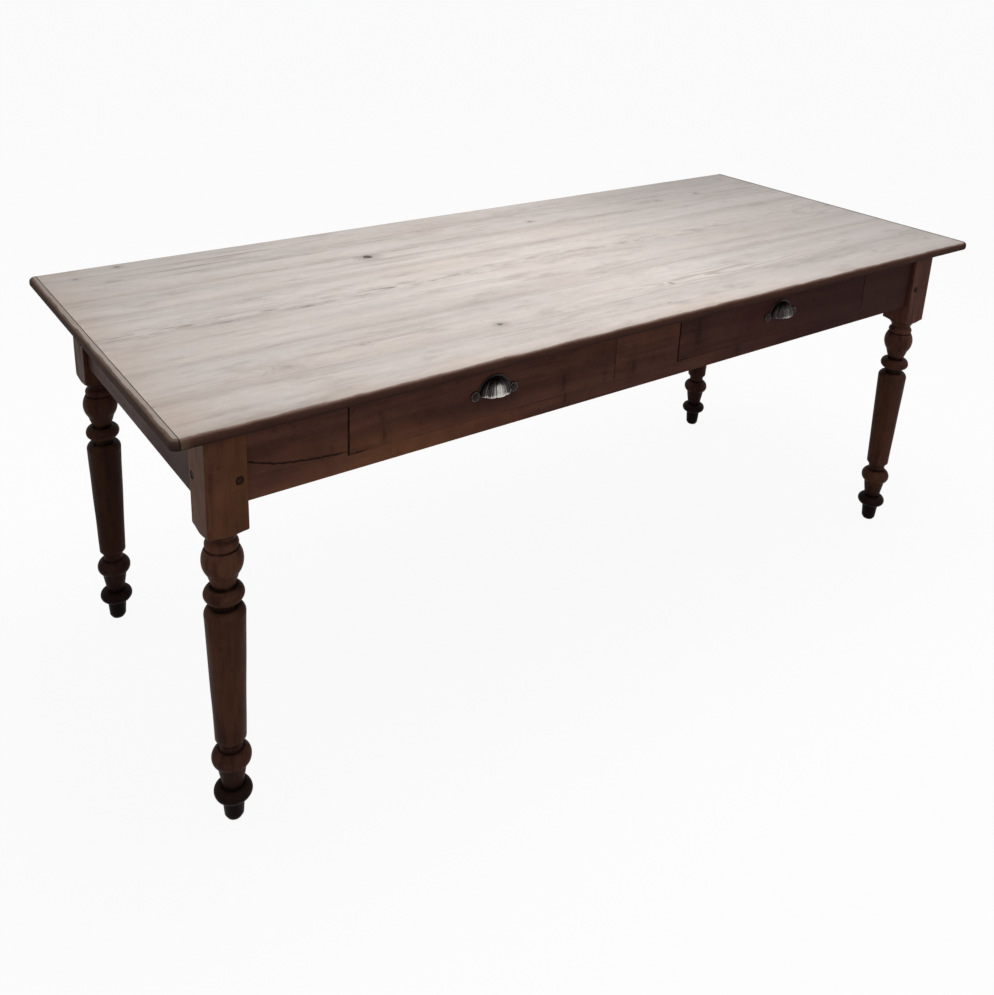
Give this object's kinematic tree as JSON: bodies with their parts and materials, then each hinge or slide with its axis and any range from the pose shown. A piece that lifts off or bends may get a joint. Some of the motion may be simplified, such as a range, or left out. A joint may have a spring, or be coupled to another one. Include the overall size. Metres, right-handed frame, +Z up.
{
  "type": "work table",
  "caption": "Long plank-topped pine table on turned legs, with drawers in the front apron that slide out on fluted cup pulls.",
  "frame": {"origin": "on the floor under the middle of the top", "axes": "+X from left to right along the drawer front, +Y from the drawer front to the back, +Z up"},
  "size_m": [1.964, 0.803, 0.77],
  "materials": {
    "scrubbed_pine": "bare scrubbed pine, pale grey, with worn brown edges",
    "dark_stained_wood": "old dark brown stain and wax, rubbed on the edges",
    "raw_pine": "bare aged pine",
    "dark_iron": "blackened iron, bright where hands rub it",
    "steel_screws": "dull steel"
  },
  "bodies": {
    "table": {"back_top_board": "scrubbed_pine", "second_top_board": "scrubbed_pine", "middle_top_board": "scrubbed_pine", "fourth_top_board": "scrubbed_pine", "front_top_board": "scrubbed_pine", "left_end_strip": "scrubbed_pine", "right_end_strip": "scrubbed_pine", "front_left_leg": "dark_stained_wood", "front_right_leg": "dark_stained_wood", "back_right_leg": "dark_stained_wood", "back_left_leg": "dark_stained_wood", "front_apron": "dark_stained_wood", "back_apron": "dark_stained_wood", "left_apron": "dark_stained_wood", "right_apron": "dark_stained_wood", "tenon_pegs": "dark_stained_wood", "top_screws": "steel_screws", "middle_cross_rail": "raw_pine", "top_buttons": "raw_pine", "drawer_stops": "raw_pine", "left_drawer_left_runner": "raw_pine", "left_drawer_right_runner": "raw_pine", "right_drawer_left_runner": "raw_pine", "right_drawer_right_runner": "raw_pine"},
    "left_drawer": {"left_drawer_front": "dark_stained_wood", "left_drawer_left_side": "raw_pine", "left_drawer_right_side": "raw_pine", "left_drawer_back": "raw_pine", "left_drawer_bottom": "raw_pine", "left_cup_pull": "dark_iron", "left_pull_screws": "dark_iron"},
    "right_drawer": {"right_drawer_front": "dark_stained_wood", "right_drawer_left_side": "raw_pine", "right_drawer_right_side": "raw_pine", "right_drawer_back": "raw_pine", "right_drawer_bottom": "raw_pine", "right_cup_pull": "dark_iron", "right_pull_screws": "dark_iron"}
  },
  "joints": [
    {"name": "left_drawer_slide", "type": "slide", "parent": "table", "child": "left_drawer", "axis": [0, -1, 0], "range_m": [0, 0.36]},
    {"name": "right_drawer_slide", "type": "slide", "parent": "table", "child": "right_drawer", "axis": [0, -1, 0], "range_m": [0, 0.36]}
  ]
}
